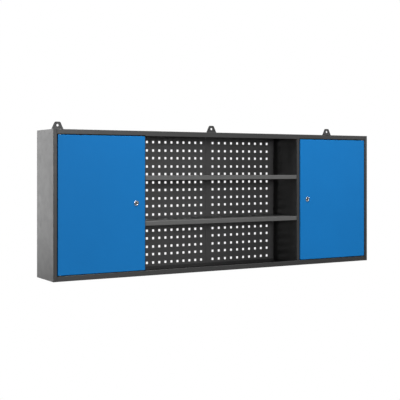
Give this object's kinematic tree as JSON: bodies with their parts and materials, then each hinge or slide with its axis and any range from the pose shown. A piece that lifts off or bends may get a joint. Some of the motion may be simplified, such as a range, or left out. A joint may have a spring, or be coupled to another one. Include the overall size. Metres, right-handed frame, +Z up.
{
  "type": "hanging wall cabinet",
  "caption": "Wide shallow steel wall cabinet: a locking door at each end, open middle bay with shelves and perforated back, hung by lugs.",
  "frame": {"origin": "centre of the case's width and height, on the wall plane (the rear face of the seam strap, lugs and pads)", "axes": "+X to the right along the front, +Y into the wall, +Z up; the doors face -Y"},
  "size_m": [1.6, 0.1926, 0.639],
  "materials": {
    "case_paint": "fine-textured dark grey powder coat",
    "panel_paint": "fine-textured dark grey powder coat",
    "shelf_paint": "fine-textured dark grey powder coat",
    "door_paint": "satin blue powder coat",
    "lock_chrome": "polished",
    "zinc_steel": "zinc plated",
    "rivet_steel": "plain steel",
    "nylon": "black nylon",
    "rubber": "matt black"
  },
  "bodies": {
    "root": {"top_panel": "case_paint", "bottom_panel": "case_paint", "side_panel_left": "case_paint", "side_panel_right": "case_paint", "partition_left": "case_paint", "partition_right": "case_paint", "door_stop_left": "case_paint", "back_panel_left": "panel_paint", "back_panel_right": "panel_paint", "perforated_panel_left": "panel_paint", "perforated_panel_right": "panel_paint", "seam_strap": "panel_paint", "bay_shelf_upper": "shelf_paint", "bay_shelf_lower": "shelf_paint", "bay_shelf_rivets": "rivet_steel", "side_shelf_left": "shelf_paint", "side_shelf_right": "shelf_paint", "shelf_bearers_left": "case_paint", "shelf_bearers_right": "case_paint", "hanging_lug_left": "case_paint", "hanging_lug_middle": "case_paint", "hanging_lug_right": "case_paint", "lug_rivets": "rivet_steel", "wall_pads": "rubber", "hinge_brackets_left": "case_paint", "hinge_brackets_right": "case_paint", "hinge_bushes_left": "nylon", "hinge_bushes_right": "nylon", "door_buffers_left": "rubber", "door_buffers_right": "rubber"},
    "door_left": {"door_skin_left": "door_paint", "door_stiffener_left": "door_paint", "pin_blocks_left": "zinc_steel", "hinge_pins_left": "zinc_steel", "lock_body_left": "lock_chrome", "lock_nut_left": "zinc_steel"},
    "door_right": {"door_skin_right": "door_paint", "door_stiffener_right": "door_paint", "pin_blocks_right": "zinc_steel", "hinge_pins_right": "zinc_steel", "lock_body_right": "lock_chrome", "lock_nut_right": "zinc_steel"},
    "lock_left": {"lock_plug_left": "lock_chrome", "lock_cam_left": "zinc_steel", "cam_bolt_left": "zinc_steel"},
    "lock_right": {"lock_plug_right": "lock_chrome", "lock_cam_right": "zinc_steel", "cam_bolt_right": "zinc_steel"}
  },
  "joints": [
    {"name": "door_left_hinge", "type": "hinge", "parent": "root", "child": "door_left", "pos_m": [-0.7725, -0.184, 0], "axis": [0, 0, -1], "range_deg": [0, 110]},
    {"name": "door_right_hinge", "type": "hinge", "parent": "root", "child": "door_right", "pos_m": [0.7725, -0.184, 0], "axis": [0, 0, 1], "range_deg": [0, 110]},
    {"name": "lock_left_turn", "type": "hinge", "parent": "door_left", "child": "lock_left", "pos_m": [-0.4395, -0.175, 0.002], "axis": [0, -1, 0], "range_deg": [0, 90]},
    {"name": "lock_right_turn", "type": "hinge", "parent": "door_right", "child": "lock_right", "pos_m": [0.4395, -0.175, 0.002], "axis": [0, 1, 0], "range_deg": [0, 90]}
  ]
}
